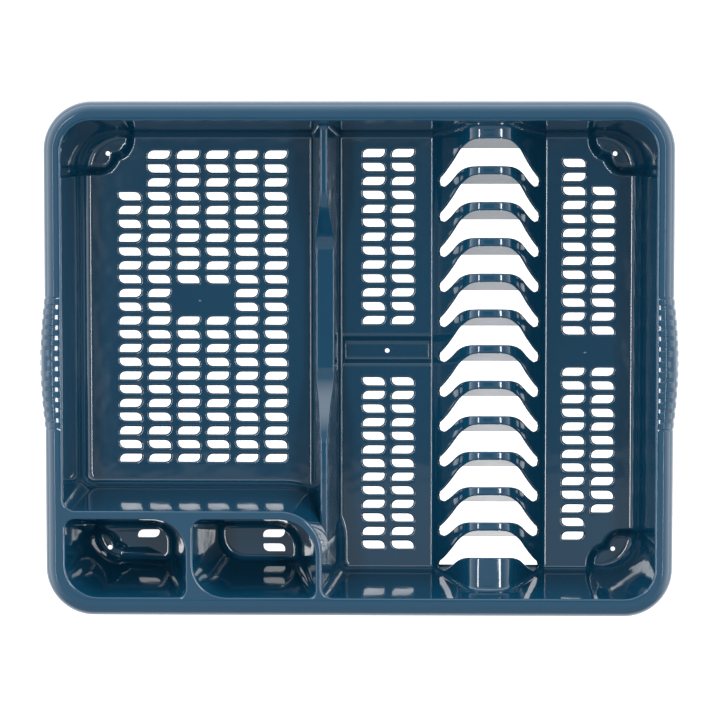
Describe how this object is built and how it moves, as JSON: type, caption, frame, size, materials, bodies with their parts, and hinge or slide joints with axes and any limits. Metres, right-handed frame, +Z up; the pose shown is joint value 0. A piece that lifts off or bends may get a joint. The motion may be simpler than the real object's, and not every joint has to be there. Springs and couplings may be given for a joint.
{
  "type": "dish drying rack",
  "caption": "Deep moulded drainer tray with slotted floors, an arched plate rack, a divider ridge, cutlery wells, finger grips and hollow feet.",
  "frame": {"origin": "on the table, under the centre of the tray's outer box", "axes": "+X to the right along the long side, +Y to the back, +Z up"},
  "size_m": [0.4828, 0.39, 0.095],
  "materials": {
    "navy_plastic": "glossy injection-moulded polypropylene, dark navy blue"
  },
  "bodies": {
    "root": {"rim_back": "navy_plastic", "rim_front": "navy_plastic", "left_grip": "navy_plastic", "right_grip": "navy_plastic", "back_wall": "navy_plastic", "front_wall": "navy_plastic", "left_wall": "navy_plastic", "right_wall": "navy_plastic", "back_left_post": "navy_plastic", "back_right_post": "navy_plastic", "front_right_post": "navy_plastic", "left_floor": "navy_plastic", "middle_floor_back": "navy_plastic", "middle_floor_front": "navy_plastic", "right_floor": "navy_plastic", "cross_trough": "navy_plastic", "divider_ridge": "navy_plastic", "rack_back_end": "navy_plastic", "plate_rib_1": "navy_plastic", "plate_rib_2": "navy_plastic", "plate_rib_3": "navy_plastic", "plate_rib_4": "navy_plastic", "plate_rib_5": "navy_plastic", "plate_rib_6": "navy_plastic", "plate_rib_7": "navy_plastic", "plate_rib_8": "navy_plastic", "plate_rib_9": "navy_plastic", "plate_rib_10": "navy_plastic", "plate_rib_11": "navy_plastic", "rack_front_end": "navy_plastic", "cutlery_well_left": "navy_plastic", "cutlery_well_right": "navy_plastic", "cutlery_rim": "navy_plastic", "cutlery_wall": "navy_plastic"}
  },
  "joints": []
}
